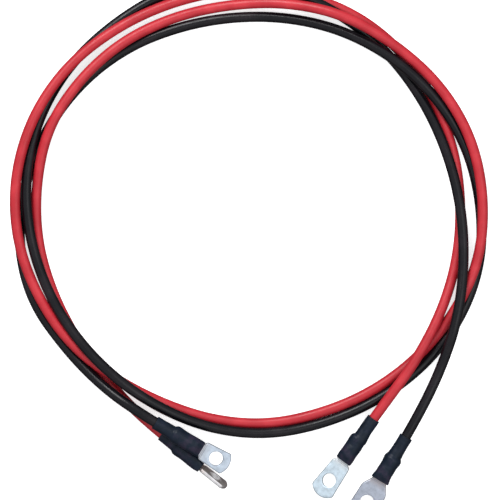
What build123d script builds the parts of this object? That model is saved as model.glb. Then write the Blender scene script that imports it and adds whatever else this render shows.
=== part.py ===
from build123d import *
import math
import os

# A red and a black battery cable, each with a ring lug and a heat-shrink sleeve on both ends, lying
# on a flat surface in one shared loose coil of nearly two turns. Millimetres, +Z up, the surface
# at Z = 0. The four lugs lie on the -Y side of the coil.

# Cable
jacket_diameter = 7.8
jacket_wall = 1.05
slip = 0.05                    # radial gap between pieces that slide over each other
conductor_diameter = jacket_diameter - 2 * (jacket_wall + slip)

# Lug, measured along its axis from the centre of the palm's hole towards the cable
hole_diameter = 10.5
barrel_diameter = 10.8
barrel_bore = conductor_diameter + 4 * slip
bore_depth = 14.0
mouth_bevel = 0.7
palm_thickness = 3.0
palm_drop = 1.4                # from the barrel's axis down to the middle of the palm
neck_length = 5.0              # from the round barrel to the flat palm
corner_round = 1.6
shoulder_round = 1.2
peep_hole_diameter = 2.2

# Palm sizes: hole to tip, hole to the corners beside the tip and their half width, hole to the
# shoulder and its half width, hole to the waist and its half width, hole to root, and hole to the
# barrel's mouth
long_palm = dict(tip=14.0, corner=9.2, corner_half=9.4, shoulder=15.4, shoulder_half=7.4,
                 waist=17.4, waist_half=4.9, root=19.6, mouth=38.4)
wide_palm = dict(tip=15.0, corner=9.5, corner_half=10.9, shoulder=10.5, shoulder_half=10.3,
                 waist=17.8, waist_half=5.9, root=20.4, mouth=38.2)
short_palm = dict(tip=11.3, corner=8.1, corner_half=8.6, shoulder=11.4, shoulder_half=7.3,
                  waist=12.8, waist_half=4.9, root=14.8, mouth=36.1)

# Heat-shrink sleeve
sleeve_wall = 1.15
sleeve_ramp = 3.0
sleeve_end_wall = 0.7
sleeve_end_half_height = 3.9
sleeve_end_drop = 1.1
sleeve_end_ease = 0.6          # from the palm's edge to the sleeve's inside
sleeve_end_power = 4.0

jacket_gap = 0.3               # from the barrel's mouth to the jacket's cut end
conductor_gap = 0.4            # from the conductor's end to the bottom of the bore
lead = 33.0                    # straight lead of the cable out of its jacket's cut end

# Middle of the coil, so that the origin is the middle of the whole pair's outline
coil_centre = (0.0, 21.3)

# The black left sleeve lies on the red one: how far the two axes are apart from side to side
# where they cross closest, how far that is from each hole, and the gap left between the sleeves
crossing_side = 8.15
crossing_from_red = 28.0
crossing_from_black = 20.0
crossing_gap = 0.15
red_left_rise = -0.053
black_left_rise = 0.100
sleeve_radius = barrel_diameter / 2 + slip + sleeve_wall
crossing_step = math.sqrt((2 * sleeve_radius + crossing_gap) ** 2 - crossing_side**2)
red_left_height = sleeve_radius + 2.1
crossing_height = red_left_height + red_left_rise * crossing_from_red + crossing_step
black_left_height = crossing_height - black_left_rise * crossing_from_black

# Places of the four lugs: hole centre from the coil's middle, height of the axis there, the
# bearing of the cable as it leaves (degrees from +X), its rise per millimetre, the roll of the
# palm about that axis (degrees, 0 is face up), and where the sleeve starts and stops
red_right = dict(hole=(60.3, -195.4), height=sleeve_radius - 1.0, bearing=54.4, rise=0.078,
                 roll=-12.0, size=long_palm, sleeve=(18.1, 57.7))
red_left = dict(hole=(-25.0, -192.3), height=red_left_height, bearing=142.0, rise=red_left_rise,
                roll=77.0, size=short_palm, sleeve=(12.9, 51.5))
black_right = dict(hole=(88.9, -211.7), height=sleeve_radius - 2.0, bearing=59.3, rise=0.082,
                   roll=0.0, size=wide_palm, sleeve=(18.9, 57.5))
black_left = dict(hole=(-24.7, -178.4), height=black_left_height, bearing=149.0,
                  rise=black_left_rise, roll=0.0, size=short_palm, sleeve=(13.0, 53.4))

# Each cable's route from its right lug to its left one, anticlockwise: bearing from the coil's
# middle in degrees, distance from it, and how high the cable's underside is above the surface
red_stations = [
    (-40, 163.7, 10.5), (-25, 160.3, 7.5), (-10, 160.0, 0), (5, 160.7, 0), (20, 164.1, 0),
    (35, 168.1, 0), (50, 173.2, 0), (65, 176.0, 0), (80, 175.8, 0), (95, 175.4, 0),
    (110, 175.1, 3), (125, 176.6, 7.5), (140, 180.0, 8), (155, 180.7, 12.5), (170, 179.2, 12),
    (185, 175.4, 8.5), (200, 169.0, 6.5), (215, 163.3, 8.5), (230, 155.8, 7.5), (245, 152.4, 0),
    (260, 152.8, 0), (275, 154.3, 0), (290, 155.0, 0), (305, 158.4, 0), (320, 163.7, 0),
    (335, 169.4, 5), (350, 175.9, 8.5), (365, 177.7, 8.5), (380, 178.9, 9.3), (395, 176.4, 12.4),
    (410, 172.4, 10), (425, 170.1, 18.5), (440, 166.7, 9.5), (455, 164.0, 0), (470, 164.0, 1.5),
    (485, 165.5, 6.5), (500, 166.0, 8), (515, 166.7, 9.5), (530, 163.0, 3.5), (545, 160.7, 0),
    (560, 158.1, 0), (575, 158.1, 0), (588, 161.1, 0),
]
black_stations = [
    (-38, 182.8, 7), (-25, 172.8, 17), (-10, 164.5, 10.5), (5, 159.6, 8.5), (20, 158.0, 6),
    (35, 160.0, 1.5), (50, 164.6, 0), (65, 170.0, 6), (80, 176.6, 9), (95, 182.6, 5),
    (110, 183.9, 0), (125, 180.7, 0), (140, 179.6, 0), (155, 176.6, 4), (170, 171.3, 9.5),
    (185, 165.5, 6.5), (200, 160.7, 8), (215, 156.7, 13.5), (230, 155.0, 18.5), (245, 156.2, 9),
    (260, 159.2, 5), (275, 161.7, 3.5), (290, 163.0, 0.5), (305, 167.5, 0), (320, 172.0, 0),
    (335, 176.2, 0), (350, 178.1, 0), (365, 175.8, 0), (380, 173.5, 2.5), (395, 168.6, 10),
    (410, 163.3, 11.2), (425, 159.6, 5.7), (440, 156.2, 0), (455, 154.5, 0), (470, 155.8, 0),
    (485, 160.0, 0), (500, 164.1, 0), (515, 167.9, 0), (530, 171.7, 0), (545, 175.3, 0),
    (560, 175.1, 0), (575, 168.5, 0), (588, 166.2, 8),
]


def lug_frame(place):
    """Frame of a lug: origin on its axis at the hole, X towards the cable, Z out of the palm."""
    bearing = math.radians(place["bearing"])
    along = Vector(math.cos(bearing), math.sin(bearing), place["rise"]).normalized()
    origin = Vector(*coil_centre) + Vector(*place["hole"], place["height"])
    level = Vector(0, 0, 1).cross(along)
    upright = along.cross(level)
    return Plane(origin, x_dir=along, z_dir=upright.rotate(Axis((0, 0, 0), along), place["roll"]))


def across(frame, distance, drop=0.0):
    """Plane square to a lug's axis, at a distance from its hole, lowered towards the palm."""
    centre = frame.from_local_coords((distance, 0, -drop))
    return Plane(centre, x_dir=frame.y_dir, z_dir=frame.x_dir)


def oval(half_width, half_height, power):
    """Points of a closed outline between an ellipse (power 2) and a rectangle (a high power)."""
    points = []
    for step in range(24):
        turn = math.tau * step / 24
        x = math.copysign(abs(math.cos(turn)) ** (2 / power), math.cos(turn))
        y = math.copysign(abs(math.sin(turn)) ** (2 / power), math.sin(turn))
        points.append((half_width * x, half_height * y))
    return points


def make_lug(place, label):
    """Tubular ring lug: round barrel with a blind bore, pressed flat into a palm with a hole."""
    frame = lug_frame(place)
    size = place["size"]
    neck_end = size["root"] + neck_length
    with BuildPart() as lug:
        with BuildSketch(across(frame, neck_end)):
            Circle(barrel_diameter / 2)
        extrude(amount=size["mouth"] - neck_end)
        with BuildSketch(across(frame, neck_end)):
            Circle(barrel_diameter / 2)
        with BuildSketch(across(frame, size["root"], palm_drop)):
            with BuildLine():
                Spline(*oval(size["waist_half"], palm_thickness / 2, 5), periodic=True)
            make_face()
        loft()
        with BuildSketch(frame.offset(-palm_drop - palm_thickness / 2)) as palm:
            with BuildLine():
                side = Polyline(
                    (size["root"], 0),
                    (size["root"], size["waist_half"]),
                    (size["waist"], size["waist_half"]),
                    (size["shoulder"], size["shoulder_half"]),
                    (-size["corner"], size["corner_half"]),
                )
                mirror(side, about=Plane.XZ)
                ThreePointArc(side @ 1, (-size["tip"], 0), (-size["corner"], -size["corner_half"]))
            make_face()
            fillet(palm.vertices().group_by(Axis.X)[0], corner_round)
            fillet(palm.vertices().group_by(Axis.X)[-3], shoulder_round)
        extrude(amount=palm_thickness)
        with BuildSketch(across(frame, size["mouth"])):
            Circle(barrel_bore / 2)
        extrude(amount=-bore_depth, mode=Mode.SUBTRACT)
        mouth_centre = across(frame, size["mouth"]).origin
        mouth_rim = lug.edges(Select.LAST).filter_by(GeomType.CIRCLE).sort_by_distance(mouth_centre)
        chamfer(mouth_rim[0], mouth_bevel)
        with BuildSketch(frame.offset(-palm_drop)):
            Circle(hole_diameter / 2)
        extrude(amount=palm_thickness, both=True, mode=Mode.SUBTRACT)
        peep = frame.from_local_coords((size["mouth"] - bore_depth + peep_hole_diameter, 0, 0))
        with BuildSketch(Plane(peep, x_dir=frame.x_dir, z_dir=frame.z_dir)):
            Circle(peep_hole_diameter / 2)
        extrude(amount=barrel_diameter, mode=Mode.SUBTRACT)
    lug.part.label = label
    return lug.part


def make_sleeve(place, label):
    """Heat-shrink sleeve: narrow on the jacket, wide on the barrel, oval where the palm begins."""
    frame = lug_frame(place)
    size = place["size"]
    start, stop = place["sleeve"]
    inner_jacket = jacket_diameter / 2 + slip
    inner_barrel = barrel_diameter / 2 + slip
    neck_end = size["root"] + neck_length
    step = size["mouth"] + slip
    with BuildPart() as sleeve:
        with BuildSketch(frame):
            with BuildLine():
                Polyline(
                    (neck_end, inner_barrel),
                    (step, inner_barrel),
                    (step + sleeve_ramp / 2, inner_jacket),
                    (stop, inner_jacket),
                    (stop, inner_jacket + sleeve_wall),
                    (step + sleeve_ramp, inner_jacket + sleeve_wall),
                    (step, inner_barrel + sleeve_wall),
                    (neck_end, inner_barrel + sleeve_wall),
                    close=True,
                )
            make_face()
        revolve(axis=Axis(frame.origin, frame.x_dir))
        for wall, end_wall, mode in (
            (sleeve_wall, sleeve_end_wall, Mode.ADD),
            (0, 0, Mode.SUBTRACT),
        ):
            with BuildSketch(across(frame, neck_end)):
                Circle(inner_barrel + wall)
            with BuildSketch(across(frame, start, sleeve_end_drop)):
                with BuildLine():
                    half_width = size["waist_half"] + sleeve_end_ease + end_wall
                    half_height = sleeve_end_half_height - sleeve_end_wall + end_wall
                    Spline(*oval(half_width, half_height, sleeve_end_power), periodic=True)
                make_face()
            loft(mode=mode)
    sleeve.part.label = label
    return sleeve.part


def station_point(bearing, distance, clear):
    """Point of a route on the cable's centre line, from one of the stations above."""
    turn = math.radians(bearing)
    height = clear + jacket_diameter / 2
    return Vector(*coil_centre) + Vector(distance * math.cos(turn), distance * math.sin(turn), height)


def corner_radii(points):
    """Radius of the arc at each inner point of a route, as large as its two runs allow."""
    radii = []
    for before, corner, after in zip(points, points[1:], points[2:]):
        turn = (corner - before).get_angle(after - corner)
        shorter = min((corner - before).length, (after - corner).length)
        radii.append(0.45 * shorter / math.tan(math.radians(turn / 2)))
    return radii


def axis_points(places, beyond):
    """Points on the two lugs' axes, a distance beyond their barrels' mouths."""
    return [
        lug_frame(place).from_local_coords((place["size"]["mouth"] + beyond, 0, 0))
        for place in places
    ]


def make_cable(places, stations, colour):
    """Jacket and conductor of one cable, swept along the same line from lug to lug."""
    lead_out, lead_in = axis_points(places, jacket_gap + lead)
    corners = [lead_out, *[station_point(*station) for station in stations], lead_in]
    first, last = axis_points(places, jacket_gap)
    radii = corner_radii([first, *corners, last])
    print(colour, "route radii", [round(radius) for radius in radii])
    pieces = []
    for label, beyond, outer, inner in (
        (colour + "_jacket", jacket_gap, jacket_diameter / 2, jacket_diameter / 2 - jacket_wall),
        (colour + "_conductor", conductor_gap - bore_depth, conductor_diameter / 2, 0),
    ):
        first, last = axis_points(places, beyond)
        with BuildPart() as piece:
            with BuildLine() as path:
                FilletPolyline(first, *corners, last, radius=radii)
            route = path.wire()
            with BuildSketch(Plane(route @ 0, z_dir=route % 0)) as section:
                Circle(outer)
                if inner:
                    Circle(inner, mode=Mode.SUBTRACT)
            sweep()
        piece.part.label = label
        swept = section.sketch.area * route.length
        print(label, "length", round(route.length), "volume", round(piece.part.volume), round(swept))
        pieces.append(piece.part)
    return pieces


os.makedirs("parts", exist_ok=True)
pieces = []
for colour, right, left, stations in (
    ("red", red_right, red_left, red_stations),
    ("black", black_right, black_left, black_stations),
):
    for side, place in (("_right", right), ("_left", left)):
        pieces.append(make_lug(place, colour + side + "_lug"))
        pieces.append(make_sleeve(place, colour + side + "_sleeve"))
    pieces += make_cable((right, left), stations, colour)
for piece in pieces:
    export_step(piece, "parts/" + piece.label + ".step")
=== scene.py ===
import math

import bpy
from mathutils import Matrix, Vector, noise


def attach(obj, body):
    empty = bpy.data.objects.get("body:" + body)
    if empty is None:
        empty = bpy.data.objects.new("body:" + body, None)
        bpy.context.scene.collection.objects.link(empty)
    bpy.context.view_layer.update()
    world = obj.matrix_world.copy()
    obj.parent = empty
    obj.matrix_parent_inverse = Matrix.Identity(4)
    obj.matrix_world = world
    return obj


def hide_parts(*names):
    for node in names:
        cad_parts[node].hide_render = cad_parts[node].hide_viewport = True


# A red and a black battery cable in one shared loose coil, with ring lugs and heat-shrink sleeves.
# Metres, in the model's frame: +Z up, the cables lie on the surface at Z = 0.

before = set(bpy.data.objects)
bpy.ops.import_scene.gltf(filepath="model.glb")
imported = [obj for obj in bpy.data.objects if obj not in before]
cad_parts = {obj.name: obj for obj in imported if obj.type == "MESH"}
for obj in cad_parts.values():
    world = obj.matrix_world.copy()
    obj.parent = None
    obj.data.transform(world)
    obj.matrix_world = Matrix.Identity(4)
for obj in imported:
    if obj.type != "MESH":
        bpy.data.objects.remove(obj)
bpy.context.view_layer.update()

# Cable, lug and sleeve sizes, as in the model. The lip, edge and rim are roundings of its sharp
# edges, and the corners are where the palm's outline turns
cable_radius = 0.0039
hole_radius = 0.00525
barrel_radius = 0.0054
bore_radius = 0.0029
bore_depth = 0.014
mouth_bevel = 0.0007
palm_thickness = 0.003
palm_drop = 0.0014
palm_edge = 0.0010
palm_corner = 0.0017
hole_rim = 0.0003
neck_length = 0.005
slip = 0.00005
sleeve_wall = 0.00115
sleeve_end_wall = 0.0007
sleeve_end_half_height = 0.0039
sleeve_end_drop = 0.0011
sleeve_end_margin = 0.0013
sleeve_end_power = 4.0
sleeve_ramp = 0.003
sleeve_lip = 0.0003
sleeve_radius = barrel_radius + slip + sleeve_wall
narrow_radius = cable_radius + slip + sleeve_wall
jacket_gap = 0.0003
lead = 0.033

# Distances from the palm's hole, and half widths
long_palm = dict(tip=0.014, corner=0.0092, corner_half=0.0094, shoulder=0.0154,
                 shoulder_half=0.0074, waist=0.0174, waist_half=0.0049, root=0.0196, mouth=0.0384)
wide_palm = dict(tip=0.015, corner=0.0095, corner_half=0.0109, shoulder=0.0105,
                 shoulder_half=0.0103, waist=0.0178, waist_half=0.0059, root=0.0204, mouth=0.0382)
short_palm = dict(tip=0.0113, corner=0.0081, corner_half=0.0086, shoulder=0.0114,
                  shoulder_half=0.0073, waist=0.0128, waist_half=0.0049, root=0.0148, mouth=0.0361)

# The black left sleeve lies on the red one: how far the two axes are apart from side to side
# where they cross closest, how far that is from each hole, and the gap between the sleeves
crossing_side = 0.00815
crossing_from_red = 0.028
crossing_from_black = 0.020
crossing_gap = 0.00015
red_left_rise = -0.053
black_left_rise = 0.100
crossing_step = math.sqrt((2 * sleeve_radius + crossing_gap) ** 2 - crossing_side**2)
red_left_height = sleeve_radius + 0.0021
crossing_height = red_left_height + red_left_rise * crossing_from_red + crossing_step
black_left_height = crossing_height - black_left_rise * crossing_from_black

# Lugs: hole from the coil's middle, height, bearing of the cable, rise, roll, and the sleeve's
# ends. Then the sleeve's own shape: how far it swells at the barrel's mouth, all round and more to
# the left than to the right, how loosely it comes down to the cable on its right and on its left,
# how uneven it is, and the crimp's dents: distance, angle round it from the top, width and depth
coil_centre = Vector((0.0, 0.0213, 0.0))
lugs = {
    "red_right": dict(hole=(0.0603, -0.1954), height=sleeve_radius - 0.001, bearing=54.4,
                      rise=0.078, roll=-12.0, size=long_palm, sleeve=(0.0181, 0.0577),
                      swell=-0.00005, side_swell=0.00045, slack=(0.9, 0.0), uneven=0.00024,
                      dents=((0.0325, 12, 0.0030, 0.00050), (0.0262, -4, 0.0026, 0.0004))),
    "red_left": dict(hole=(-0.0250, -0.1923), height=red_left_height, bearing=142.0,
                     rise=red_left_rise, roll=77.0, size=short_palm, sleeve=(0.0129, 0.0515),
                     swell=0.0001, side_swell=0.0, slack=(0.2, 0.2), uneven=0.00014,
                     dents=((0.0315, -70, 0.0028, 0.0004), (0.0242, -80, 0.0026, 0.0004))),
    "black_right": dict(hole=(0.0889, -0.2117), height=sleeve_radius - 0.002, bearing=59.3,
                        rise=0.082, roll=0.0, size=wide_palm, sleeve=(0.0189, 0.0575),
                        swell=0.00025, side_swell=-0.0001, slack=(0.2, 0.4), uneven=0.00024,
                        dents=((0.0320, 14, 0.0028, 0.00050), (0.0250, 18, 0.0028, 0.00055))),
    "black_left": dict(hole=(-0.0247, -0.1784), height=black_left_height, bearing=149.0,
                       rise=black_left_rise, roll=0.0, size=short_palm, sleeve=(0.0130, 0.0534),
                       swell=0.0002, side_swell=-0.0001, slack=(0.1, 0.2), uneven=0.00014,
                       dents=((0.0320, 8, 0.0026, 0.0004), (0.0235, 0, 0.0046, 0.00060))),
}

# Routes from the right lug to the left one, anticlockwise: bearing from the coil's middle in
# degrees, distance from it, and how high the cable's underside is above the surface
red_stations = [
    (-40, 0.1637, 0.0105), (-25, 0.1603, 0.0075), (-10, 0.16, 0), (5, 0.1607, 0), (20, 0.1641, 0),
    (35, 0.1681, 0), (50, 0.1732, 0), (65, 0.176, 0), (80, 0.1758, 0), (95, 0.1754, 0),
    (110, 0.1751, 0.003), (125, 0.1766, 0.0075), (140, 0.18, 0.008), (155, 0.1807, 0.0125),
    (170, 0.1792, 0.012), (185, 0.1754, 0.0085), (200, 0.169, 0.0065), (215, 0.1633, 0.0085),
    (230, 0.1558, 0.0075), (245, 0.1524, 0), (260, 0.1528, 0), (275, 0.1543, 0), (290, 0.155, 0),
    (305, 0.1587, 0), (320, 0.1637, 0), (335, 0.1694, 0.005), (350, 0.1759, 0.0085),
    (365, 0.1777, 0.0085), (380, 0.1789, 0.0093), (395, 0.1764, 0.0124), (410, 0.1724, 0.01),
    (425, 0.1701, 0.0185), (440, 0.1667, 0.0095), (455, 0.164, 0), (470, 0.164, 0.0015),
    (485, 0.1655, 0.0065), (500, 0.166, 0.008), (515, 0.1667, 0.0095), (530, 0.163, 0.0035),
    (545, 0.1607, 0), (560, 0.1581, 0), (575, 0.1581, 0), (588, 0.1611, 0),
]
black_stations = [
    (-38, 0.1828, 0.007), (-25, 0.1728, 0.017), (-10, 0.1645, 0.0105), (5, 0.1596, 0.0085),
    (20, 0.158, 0.006), (35, 0.16, 0.0015), (50, 0.1646, 0), (65, 0.17, 0.006), (80, 0.1766, 0.009),
    (95, 0.1826, 0.005), (110, 0.1839, 0), (125, 0.1807, 0), (140, 0.1796, 0), (155, 0.1766, 0.004),
    (170, 0.1713, 0.0095), (185, 0.1655, 0.0065), (200, 0.1607, 0.008), (215, 0.1567, 0.0135),
    (230, 0.155, 0.0185), (245, 0.1562, 0.009), (260, 0.1592, 0.005), (275, 0.1617, 0.0035),
    (290, 0.1629, 0.0005), (305, 0.1665, 0), (320, 0.1716, 0), (335, 0.1762, 0), (350, 0.1781, 0),
    (365, 0.1758, 0), (380, 0.1735, 0.0025), (395, 0.1686, 0.01), (410, 0.1633, 0.0112),
    (425, 0.1596, 0.0057), (440, 0.1562, 0), (455, 0.1545, 0), (470, 0.1558, 0), (485, 0.16, 0),
    (500, 0.1641, 0), (515, 0.1679, 0), (530, 0.1717, 0), (545, 0.1753, 0), (560, 0.1751, 0),
    (575, 0.1685, 0), (588, 0.1662, 0.008),
]

# Camera: straight above the coil, as far away as gives the picture's flat, almost parallel view
camera_height = 2.5
camera_field = 0.3775
camera_aim = (0.000755, -0.0006)


def lug_matrix(place):
    """Frame of a lug: origin on its axis at the hole, X towards the cable, Z out of the palm."""
    bearing = math.radians(place["bearing"])
    along = Vector((math.cos(bearing), math.sin(bearing), place["rise"])).normalized()
    level = Vector((0, 0, 1)).cross(along).normalized()
    turn = Matrix.Rotation(math.radians(place["roll"]), 3, along)
    axes = Matrix((along, turn @ level, turn @ along.cross(level))).transposed()
    origin = coil_centre + Vector((*place["hole"], place["height"]))
    return Matrix.Translation(origin) @ axes.to_4x4()


def smooth(value, low, high):
    """0 below low, 1 above high, and an S-shaped rise between them."""
    share = min(max((value - low) / (high - low), 0.0), 1.0)
    return share * share * (3 - 2 * share)


def mix(first, second, share):
    """The value that lies share of the way from first to second."""
    return first + (second - first) * share


# Materials


def new_material(name):
    """A material with its node helper."""
    made = bpy.data.materials.new(name)
    made.use_nodes = True
    return made, Nodes(made.node_tree)


class Nodes:
    """Short calls for building one material's nodes."""

    def __init__(self, tree):
        self.tree = tree
        self.shader = tree.nodes["Principled BSDF"]
        self.place = tree.nodes.new("ShaderNodeTexCoord").outputs["Object"]

    def link(self, output, socket):
        self.tree.links.new(output, socket)

    def noise(self, size, detail=4.0, stretch=(1, 1, 1), rough=0.55):
        """Noise with features about size metres wide, longer where stretch is below 1."""
        scale = self.tree.nodes.new("ShaderNodeMapping")
        scale.inputs["Scale"].default_value = stretch
        self.link(self.place, scale.inputs["Vector"])
        made = self.tree.nodes.new("ShaderNodeTexNoise")
        made.inputs["Scale"].default_value = 1 / size
        made.inputs["Detail"].default_value = detail
        made.inputs["Roughness"].default_value = rough
        self.link(scale.outputs["Vector"], made.inputs["Vector"])
        return made.outputs["Fac"]

    def ramp(self, value, *stops):
        """Colour ramp through (position, colour) stops."""
        made = self.tree.nodes.new("ShaderNodeValToRGB")
        elements = made.color_ramp.elements
        while len(elements) < len(stops):
            elements.new(0.5)
        for element, (position, colour) in zip(elements, stops):
            element.position = position
            element.color = (*colour, 1)
        self.link(value, made.inputs["Fac"])
        return made.outputs["Color"]

    def span(self, value, low, high, to_low, to_high):
        """A value mapped from one span to another."""
        made = self.tree.nodes.new("ShaderNodeMapRange")
        for name, number in (("From Min", low), ("From Max", high), ("To Min", to_low),
                             ("To Max", to_high)):
            made.inputs[name].default_value = number
        self.link(value, made.inputs["Value"])
        return made.outputs["Result"]

    def calculate(self, operation, first, second):
        made = self.tree.nodes.new("ShaderNodeMath")
        made.operation = operation
        for value, socket in zip((first, second), made.inputs):
            if isinstance(value, (int, float)):
                socket.default_value = value
            else:
                self.link(value, socket)
        return made.outputs["Value"]

    def blend(self, share, first, second, kind="MIX"):
        """Two colours mixed by a share, a number or an output."""
        made = self.tree.nodes.new("ShaderNodeMix")
        made.data_type = "RGBA"
        made.blend_type = kind
        for name, value in (("Factor_Float", share), ("A_Color", first), ("B_Color", second)):
            socket = next(item for item in made.inputs if item.identifier == name)
            if isinstance(value, (int, float)):
                socket.default_value = value
            elif isinstance(value, tuple):
                socket.default_value = (*value, 1)
            else:
                self.link(value, socket)
        return next(item for item in made.outputs if item.identifier == "Result_Color")

    def axis(self, name):
        made = self.tree.nodes.new("ShaderNodeSeparateXYZ")
        self.link(self.place, made.inputs["Vector"])
        return made.outputs[name]

    def bump(self, *layers):
        """Bumps of (height output, height in metres, strength), the coarse ones first."""
        before = None
        for height, distance, strength in layers:
            made = self.tree.nodes.new("ShaderNodeBump")
            made.inputs["Distance"].default_value = distance
            made.inputs["Strength"].default_value = strength
            self.link(height, made.inputs["Height"])
            if before:
                self.link(before, made.inputs["Normal"])
            before = made.outputs["Normal"]
        self.link(before, self.shader.inputs["Normal"])

    def surface(self, colour, roughness):
        self.link(colour, self.shader.inputs["Base Color"])
        self.link(roughness, self.shader.inputs["Roughness"])


def insulation_material(name, deep, main, pale, gloss, dullness):
    """Satin PVC: slightly uneven colour, dull scuffs, and a fine grain from the extruder."""
    made, nodes = new_material(name)
    patches = nodes.noise(0.018, 3)
    colour = nodes.ramp(patches, (0.3, deep), (0.5, main), (0.72, pale))
    dust = nodes.span(nodes.noise(0.0016, 5, rough=0.7), 0.62, 0.78, 0, 0.10)
    colour = nodes.blend(dust, colour, pale)
    roughness = nodes.span(nodes.noise(0.006, 5), 0.3, 0.7, dullness - 0.08, dullness + 0.08)
    nodes.surface(colour, roughness)
    nodes.shader.inputs["Specular IOR Level"].default_value = gloss
    nodes.bump((nodes.noise(0.009, 2), 0.0004, 0.10), (nodes.noise(0.0005, 4), 0.00004, 0.22))
    return made


def shrink_material():
    """Matte blue-black heat shrink: uneven in tone, with paler purple patches of painted sheen, and
    fine wrinkles.
    """
    made, nodes = new_material("heat_shrink")
    # Random patches of tone: the palest, purple stop is painted sheen
    patches_and_painted_sheen = nodes.ramp(
        nodes.noise(0.008, 3),
        (0.32, (0.0020, 0.0065, 0.0135)),
        (0.52, (0.0045, 0.0105, 0.0230)),
        (0.66, (0.0210, 0.0170, 0.0360)),
    )
    scuffs = nodes.span(nodes.noise(0.0011, 6, (0.35, 1, 1), 0.7), 0.62, 0.80, 0, 0.25)
    colour = nodes.blend(scuffs, patches_and_painted_sheen, (0.040, 0.044, 0.055))
    roughness = nodes.span(nodes.noise(0.004, 4), 0.3, 0.7, 0.34, 0.52)
    nodes.surface(colour, roughness)
    nodes.shader.inputs["Specular IOR Level"].default_value = 0.22
    nodes.bump(
        (nodes.noise(0.0030, 3, (1.6, 0.7, 0.7)), 0.0007, 0.35),
        (nodes.noise(0.00035, 4), 0.00004, 0.35),
    )
    return made


def tinned_material(name, cool, copper_and_painted_reflection, line):
    """Tinned copper: mottled plating, rolling marks along the palm, two bumped lines before the
    neck at line metres from the hole, darkened with painted shade of the step where the palm rises
    into the neck, and a brownish tint towards the neck, partly the copper's tone and partly painted
    reflection and shade."""
    made, nodes = new_material(name)
    mottle = nodes.noise(0.0045, 5, rough=0.6)
    plating = nodes.ramp(
        mottle,
        (0.30, tuple(0.74 * value for value in cool)),
        (0.50, cool),
        (0.70, tuple(min(1.15 * value, 1) for value in cool)),
    )
    marks = nodes.noise(0.0009, 4, (0.12, 1, 1))
    plating = nodes.blend(nodes.span(marks, 0.5, 0.75, 0, 0.22), plating, (0.46, 0.49, 0.54))
    along = nodes.axis("X")
    towards_neck = nodes.span(along, line - 0.0045, line + 0.003, 0, 1)
    # Brownish towards the neck: partly the copper's tone, partly painted reflection and shade
    tint = nodes.calculate("MULTIPLY", towards_neck, nodes.span(mottle, 0.35, 0.6, 0.1, 0.8))
    plating = nodes.blend(tint, plating, copper_and_painted_reflection)
    step_lines = None
    for place in (line, line + 0.0011):
        away = nodes.calculate("ABSOLUTE", nodes.calculate("SUBTRACT", along, place), 0.0)
        step_line = nodes.span(away, 0.00008, 0.00026, 1, 0)
        step_lines = nodes.calculate("MAXIMUM", step_lines, step_line) if step_lines else step_line
    # The two lines are darkened: painted shade of the step where the palm rises into the neck
    dark = nodes.calculate("MULTIPLY", step_lines, 0.75)
    colour = nodes.blend(dark, plating, (0.24, 0.23, 0.25))
    roughness = nodes.span(nodes.noise(0.002, 5, (0.3, 1, 1)), 0.3, 0.7, 0.34, 0.54)
    nodes.surface(colour, roughness)
    nodes.shader.inputs["Metallic"].default_value = 1.0
    nodes.bump(
        (nodes.noise(0.0060, 2), 0.0006, 0.15),
        (nodes.calculate("SUBTRACT", 1.0, step_lines), 0.00012, 0.6),
        (marks, 0.00005, 0.30),
    )
    return made


def copper_material():
    made, nodes = new_material("copper")
    colour = nodes.ramp(nodes.noise(0.003), (0.3, (0.62, 0.28, 0.16)), (0.7, (0.80, 0.42, 0.27)))
    nodes.surface(colour, nodes.span(nodes.noise(0.001), 0.3, 0.7, 0.25, 0.45))
    nodes.shader.inputs["Metallic"].default_value = 1.0
    nodes.bump((nodes.noise(0.0006, 3, (0.1, 1, 1)), 0.0001, 0.4))
    return made


# Cables


def make_cable(name, first_lug, last_lug, stations, material):
    """A jacket's curve through its lugs' leads and the route's stations."""
    mouth, lead_out = [
        lug_matrix(first_lug) @ Vector((first_lug["size"]["mouth"] + beyond, 0, 0))
        for beyond in (jacket_gap, jacket_gap + lead)
    ]
    lead_in, end = [
        lug_matrix(last_lug) @ Vector((last_lug["size"]["mouth"] + beyond, 0, 0))
        for beyond in (jacket_gap + lead, jacket_gap)
    ]
    points = [mouth, lead_out]
    for bearing, distance, clear in stations:
        turn = math.radians(bearing)
        offset = Vector((distance * math.cos(turn), distance * math.sin(turn), clear))
        points.append(coil_centre + offset + Vector((0, 0, cable_radius)))
    points += [lead_in, end]
    curve = bpy.data.curves.new(name, "CURVE")
    curve.dimensions = "3D"
    curve.bevel_depth = cable_radius
    curve.bevel_resolution = 14
    curve.use_fill_caps = True
    curve.resolution_u = 22
    spline = curve.splines.new("NURBS")
    spline.points.add(len(points) - 1)
    for place, point in zip(spline.points, points):
        place.co = (*point, 1)
    spline.order_u = 3
    spline.use_endpoint_u = True
    curve.materials.append(material)
    cable = bpy.data.objects.new(name, curve)
    bpy.context.collection.objects.link(cable)
    return cable, mouth


# Shells of rings, for lugs and sleeves

sharp_angle = math.radians(50)
around = 72            # points round a barrel or sleeve
outline_points = 168   # points round a palm


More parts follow.
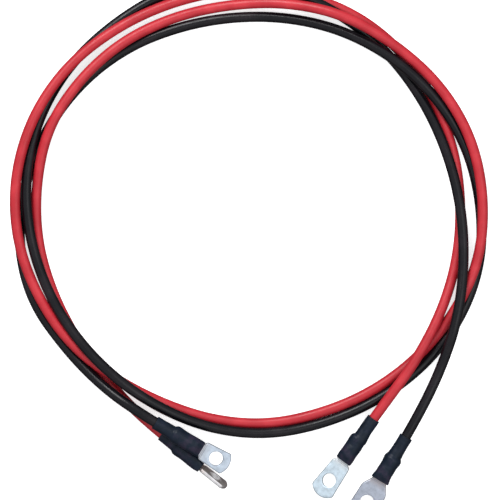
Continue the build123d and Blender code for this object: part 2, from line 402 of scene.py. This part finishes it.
class Shell:
    """Vertices and faces of a piece made of closed rings."""

    def __init__(self):
        self.points = []
        self.faces = []

    def rings(self, rings, joined=False):
        """Rings of equally many points, bridged in turn, and the last to the first if joined."""
        base, count = len(self.points), len(rings[0])
        for ring in rings:
            self.points += ring
        pairs = list(zip(range(len(rings)), range(1, len(rings))))
        if joined:
            pairs.append((len(rings) - 1, 0))
        for low, high in pairs:
            for step in range(count):
                after = (step + 1) % count
                self.faces.append((base + low * count + step, base + high * count + step,
                                   base + high * count + after, base + low * count + after))
        return base

    def cap(self, first, count, backwards=False):
        """One face over a ring."""
        corners = list(range(first, first + count))
        self.faces.append(tuple(reversed(corners)) if backwards else tuple(corners))

    def piece(self, name, matrix, material):
        """An object of the shell, placed by matrix."""
        mesh = bpy.data.meshes.new(name)
        mesh.from_pydata([tuple(point) for point in self.points], [], self.faces)
        mesh.validate()
        mesh.shade_smooth()
        mesh.set_sharp_from_angle(angle=sharp_angle)
        mesh.materials.append(material)
        made = bpy.data.objects.new(name, mesh)
        bpy.context.collection.objects.link(made)
        made.matrix_world = matrix
        bpy.context.view_layer.update()
        return made


def oval_ring(distance, half_width, half_height, power, drop, reshape=None):
    """Ring round a lug's axis, from an ellipse (power 2) to nearly a rectangle. reshape adds to
    the distance from the ring's middle."""
    ring = []
    for step in range(around):
        turn = math.tau * step / around
        side = math.copysign(abs(math.sin(turn)) ** (2 / power), math.sin(turn)) * half_width
        up = math.copysign(abs(math.cos(turn)) ** (2 / power), math.cos(turn)) * half_height
        grow = 1.0
        if reshape:
            grow += reshape(distance, turn) / math.hypot(side, up)
        ring.append(Vector((distance, grow * side, grow * up - drop)))
    return ring


def rounded(corners, cut):
    """Closed outline with each corner replaced by a short curve of seven points."""
    outline = []
    count = len(corners)
    for index, corner in enumerate(corners):
        before = corners[index - 1] - corner
        after = corners[(index + 1) % count] - corner
        reach = min(cut, 0.45 * before.length, 0.45 * after.length)
        start = corner + before.normalized() * reach
        stop = corner + after.normalized() * reach
        for step in range(7):
            share = step / 6
            outline.append(
                start * (1 - share) ** 2 + corner * 2 * share * (1 - share) + stop * share**2
            )
    return outline


def spread(outline, count):
    """Points at equal steps along a closed outline."""
    lengths = [(b - a).length for a, b in zip(outline, outline[1:] + outline[:1])]
    step = sum(lengths) / count
    points, gone, index = [], 0.0, 0
    for place in range(count):
        wanted = place * step
        while gone + lengths[index] < wanted:
            gone += lengths[index]
            index += 1
        start, stop = outline[index], outline[(index + 1) % len(outline)]
        points.append(start.lerp(stop, (wanted - gone) / max(lengths[index], 1e-9)))
    return points


def palm_outline(size):
    """Anticlockwise outline of a palm, with its bowed tip and rounded corners."""
    bow = ((size["tip"] - size["corner"]) ** 2 + size["corner_half"] ** 2) / (
        2 * (size["tip"] - size["corner"])
    )
    half_turn = math.asin(size["corner_half"] / bow)
    tip = []
    for step in range(-9, 10):
        turn = half_turn * step / 10
        tip.append(Vector((bow - size["tip"] - bow * math.cos(turn), -bow * math.sin(turn))))
    side = [
        Vector((-size["corner"], size["corner_half"])),
        Vector((size["shoulder"], size["shoulder_half"])),
        Vector((size["waist"], size["waist_half"])),
        Vector((size["root"], size["waist_half"])),
    ]
    mirrored = [Vector((point.x, -point.y)) for point in side]
    corners = [*mirrored, *reversed(side), *tip]
    return spread(rounded(corners, palm_corner), outline_points)


def make_palm(shell, size):
    """Flat palm with rolled edges and a punched hole, in rings from the middle of its outer edge,
    over the lower face, through the hole and back over the upper face."""
    outline = palm_outline(size)
    count = len(outline)
    outward = []
    for index in range(count):
        run = outline[(index + 1) % count] - outline[index - 1]
        outward.append(Vector((run.y, -run.x)).normalized())
    half = palm_thickness / 2
    hole = [point.normalized() for point in outline]

    def level(inset, height):
        return [Vector((*(point - out * inset), height - palm_drop))
                for point, out in zip(outline, outward)]

    def near_hole(radius, height):
        return [Vector((*(out * radius), height - palm_drop)) for out in hole]

    def face(side):
        """Rings from the edge's rounding to the hole's rim, on one side of the palm, with the
        press's faint ripples."""
        ripple_height = 0.00005
        ripples_per_metre = 260
        rim_ring = near_hole(hole_radius + hole_rim, side * half)
        rings = []
        for step in range(1, 7):
            share = step / 7
            ring = []
            for far, near in zip(level(palm_edge, side * half), rim_ring):
                point = far.lerp(near, share)
                ripple = noise.noise(Vector((*(point.xy * ripples_per_metre), side * 7.0)))
                point.z += ripple_height * ripple * math.sin(math.pi * share)
                ring.append(point)
            rings.append(ring)
        return rings

    def rounding(side, turn):
        return level(palm_edge * (1 - math.cos(turn)),
                     side * (half - palm_edge * (1 - math.sin(turn))))

    rings = [rounding(-1, math.pi / 2 * step / 6) for step in range(7)]
    rings += face(-1)
    for side, steps in ((-1, (2, 1, 0)), (1, (0, 1, 2))):
        for step in steps:
            turn = math.pi / 2 * step / 2
            rings.append(near_hole(hole_radius + hole_rim * (1 - math.cos(turn)),
                                   side * (half - hole_rim * (1 - math.sin(turn)))))
    rings += reversed(face(1))
    rings += [rounding(1, math.pi / 2 * (1 - step / 6)) for step in range(7)]
    shell.rings(rings, joined=True)


def make_lug(name, place, material):
    """Ring lug: palm, pressed neck, and barrel with a bevelled blind bore. The neck starts
    inside the palm, a little smaller than it."""
    size = place["size"]
    shell = Shell()
    make_palm(shell, size)
    inset = 0.0001
    start = size["root"] - 0.0012
    swelling = size["root"] - 0.0004
    neck_end = size["root"] + neck_length
    mouth = size["mouth"]
    rings = []
    steps = 16
    for step in range(steps + 1):
        distance = mix(start, neck_end, step / steps)
        share = smooth(distance, swelling, neck_end)
        rings.append(oval_ring(
            distance,
            mix(size["waist_half"] - inset, barrel_radius, share),
            mix(palm_thickness / 2 - inset, barrel_radius, share),
            mix(5.0, 2.0, share),
            mix(palm_drop, 0, share),
        ))
    for distance, radius in (
        (neck_end + 0.001, barrel_radius),
        (mouth - mouth_bevel, barrel_radius),
        (mouth - 0.2 * mouth_bevel, barrel_radius - 0.3 * mouth_bevel),
        (mouth, barrel_radius - mouth_bevel),
        (mouth, bore_radius + 0.0002),
        (mouth - 0.0002, bore_radius),
        (mouth - bore_depth, bore_radius),
    ):
        rings.append(oval_ring(distance, radius, radius, 2, 0))
    base = shell.rings(rings)
    shell.cap(base, around)
    shell.cap(base + around * (len(rings) - 1), around, backwards=True)
    return shell.piece(name, lug_matrix(place), material)


def sleeve_section(place, distance, inside):
    """Half width, half height, power and drop of a sleeve's outer or inner surface."""
    size = place["size"]
    start = place["sleeve"][0]
    neck_end = size["root"] + neck_length
    mouth = size["mouth"]
    wide, narrow = sleeve_radius, narrow_radius
    end_width = size["waist_half"] + sleeve_end_margin
    end_height = sleeve_end_half_height
    if inside:
        wide, narrow = wide - sleeve_wall, narrow - sleeve_wall
        end_width, end_height = end_width - sleeve_end_wall, end_height - sleeve_end_wall
    share = smooth(distance, start - 0.0005, neck_end)
    radius = mix(wide, narrow, smooth(distance, mouth, mouth + sleeve_ramp))
    return (mix(end_width, radius, share), mix(end_height, radius, share),
            mix(sleeve_end_power, 2, share), mix(sleeve_end_drop, 0, share))


def make_sleeve(name, place, material, seed):
    """Heat-shrink sleeve: it follows the palm's waist, the barrel and its mouth, and the cable,
    with the crimp's dents and a slight unevenness. Both ends are rounded lips."""
    size = place["size"]
    start, stop = place["sleeve"]
    mouth = size["mouth"]
    swollen, swell_reach = mouth - 0.0022, 0.0028
    slack_end = mouth + 0.010
    thinning = 0.00022       # where it is drawn tight over the barrel's middle
    bumps_per_metre = 130

    def reshape(distance, turn):
        """How far the outer surface is from its plain shape."""
        rim = math.exp(-(((distance - swollen) / swell_reach) ** 2))
        change = rim * (place["swell"] + place["side_swell"] * math.sin(turn))
        tent = smooth(distance, mouth, mouth + sleeve_ramp)
        tent -= smooth(distance, mouth, slack_end)
        slack = mix(*place["slack"], (1 + math.sin(turn)) / 2)
        change += slack * tent * (sleeve_radius - narrow_radius)
        for dent, angle, width, depth in place["dents"]:
            off = math.remainder(turn - math.radians(angle), math.tau) * sleeve_radius
            change -= depth * math.exp(-((distance - dent) ** 2 + off**2) / width**2)
        on_barrel = smooth(distance, size["root"], size["root"] + neck_length)
        on_barrel *= 1 - smooth(distance, mouth - 0.006, mouth)
        change -= thinning * on_barrel
        across, up = 1.1 * math.cos(turn), 1.1 * math.sin(turn)
        spot = Vector((distance * bumps_per_metre, across, up + seed))
        change += place["uneven"] * (noise.noise(spot) + 0.3 * noise.noise(spot * 4.3))
        return change * smooth(distance, start, start + sleeve_ramp)

    def outer(distance, shrink=0.0):
        width, height, power, drop = sleeve_section(place, distance, False)
        return oval_ring(distance, width - shrink, height - shrink, power, drop, reshape)

    def inner(distance):
        return oval_ring(distance, *sleeve_section(place, distance, True))

    lip = [(sleeve_lip * (1 - math.sin(turn)), sleeve_lip * (1 - math.cos(turn)))
           for turn in (math.pi / 6 * step for step in range(4))]
    rings = [outer(start + along, shrink) for along, shrink in reversed(lip)]
    steps = 110
    first, last = start + sleeve_lip, stop - sleeve_lip
    rings += [outer(mix(first, last, step / steps)) for step in range(1, steps)]
    rings += [outer(stop - along, shrink) for along, shrink in lip]
    steps = 60
    rings += [inner(mix(stop, start, step / steps)) for step in range(steps + 1)]
    shell = Shell()
    shell.rings(rings, joined=True)
    return shell.piece(name, lug_matrix(place), material)


# Camera, surface and light


def add_camera():
    """Straight above the coil."""
    data = bpy.data.cameras.new("camera")
    data.sensor_width = 36.0
    data.lens = data.sensor_width * camera_height / camera_field
    camera = bpy.data.objects.new("camera", data)
    camera.location = (*camera_aim, camera_height)
    bpy.context.collection.objects.link(camera)
    bpy.context.scene.camera = camera


def make_floor(reach=4.0):
    """White paper. The cables don't see it, so their lower sides stay dark."""
    mesh = bpy.data.meshes.new("floor")
    corners = [(-reach, -reach, 0), (reach, -reach, 0), (reach, reach, 0), (-reach, reach, 0)]
    mesh.from_pydata(corners, [], [(0, 1, 2, 3)])
    made = bpy.data.objects.new("floor", mesh)
    bpy.context.collection.objects.link(made)
    paper, nodes = new_material("floor_paper")
    grain = nodes.ramp(nodes.noise(0.02, 6), (0.3, (0.90, 0.90, 0.90)), (0.7, (0.94, 0.94, 0.94)))
    nodes.surface(grain, nodes.span(nodes.noise(0.001), 0.3, 0.7, 0.75, 0.9))
    nodes.shader.inputs["Emission Color"].default_value = (1.0, 1.0, 1.0, 1)
    nodes.shader.inputs["Emission Strength"].default_value = 0.65
    mesh.materials.append(paper)
    made.visible_diffuse = False
    made.visible_glossy = False
    return made


def add_room():
    """Light from all round: a bright room above a dark horizon."""
    world = bpy.data.worlds.new("room")
    world.use_nodes = True
    room = world.node_tree
    height = room.nodes.new("ShaderNodeSeparateXYZ")
    directions = room.nodes.new("ShaderNodeTexCoord")
    halfway = room.nodes.new("ShaderNodeMapRange")
    halfway.inputs["From Min"].default_value = -1.0
    sky = room.nodes.new("ShaderNodeValToRGB")
    horizon, top = sky.color_ramp.elements
    horizon.position, horizon.color = 0.42, (0.17, 0.15, 0.145, 1)
    top.position, top.color = 0.72, (0.95, 0.97, 1.0, 1)
    room.links.new(directions.outputs["Generated"], height.inputs["Vector"])
    room.links.new(height.outputs["Z"], halfway.inputs["Value"])
    room.links.new(halfway.outputs["Result"], sky.inputs["Fac"])
    room.links.new(sky.outputs["Color"], room.nodes["Background"].inputs["Color"])
    room.nodes["Background"].inputs["Strength"].default_value = 0.84
    bpy.context.scene.world = world


def add_lamp(name, place, size, power):
    """A square lamp turned towards the coil."""
    data = bpy.data.lights.new(name, "AREA")
    data.shape = "SQUARE"
    data.size = size
    data.energy = power
    lamp = bpy.data.objects.new(name, data)
    lamp.location = place
    lamp.rotation_euler = (-Vector(place)).to_track_quat("-Z", "Y").to_euler()
    bpy.context.collection.objects.link(lamp)


add_camera()

# Pieces
red_pvc = insulation_material("red_pvc", (0.40, 0.013, 0.022), (0.47, 0.018, 0.029),
                              (0.55, 0.030, 0.042), 0.35, 0.40)
black_pvc = insulation_material("black_pvc", (0.0022, 0.0024, 0.0042), (0.0045, 0.0040, 0.0060),
                                (0.012, 0.009, 0.012), 0.24, 0.27)
shrink = shrink_material()
copper = copper_material()
# Each lug's plating colour and its brownish colour towards the neck. All four are one tinned
# copper, made darker or lighter by how each lug catches the light: painted shade and painted
# highlight
tins_with_painted_light = {
    "red_right": ((0.60, 0.70, 0.77), (0.62, 0.56, 0.50)),
    "red_left": ((0.74, 0.72, 0.72), (0.60, 0.45, 0.38)),
    "black_right": ((0.40, 0.43, 0.50), (0.30, 0.20, 0.15)),
    "black_left": ((0.45, 0.51, 0.58), (0.52, 0.50, 0.50)),
}
for colour, stations, insulation in (
    ("red", red_stations, red_pvc),
    ("black", black_stations, black_pvc),
):
    fittings = []
    for side in ("right", "left"):
        end = colour + "_" + side
        place = lugs[end]
        tinned = tinned_material(end + "_tin", *tins_with_painted_light[end], place["sleeve"][0] - 0.0022)
        lug = make_lug(end + "_ring_lug", place, tinned)
        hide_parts(end + "_lug")
        # The names' lengths all differ, so no two sleeves are uneven alike
        sleeve = make_sleeve(end + "_heat_shrink", place, shrink, seed=3.7 * len(end))
        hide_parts(end + "_sleeve")
        fittings += [lug, sleeve]
    cable, exit_point = make_cable(colour + "_cable", lugs[colour + "_right"],
                                   lugs[colour + "_left"], stations, insulation)
    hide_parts(colour + "_jacket")
    for piece in (cable, *fittings):
        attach(piece, "root")
    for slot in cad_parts[colour + "_conductor"].material_slots:
        slot.link = "OBJECT"
        slot.material = copper

make_floor()
add_room()
# A large soft lamp from behind and the left, and a weak one from the right
add_lamp("key", (-0.6, 1.5, 1.5), 1.0, 34.0)
add_lamp("fill", (0.9, -0.2, 1.9), 1.4, 8.0)
bpy.context.scene.view_settings.view_transform = "Standard"
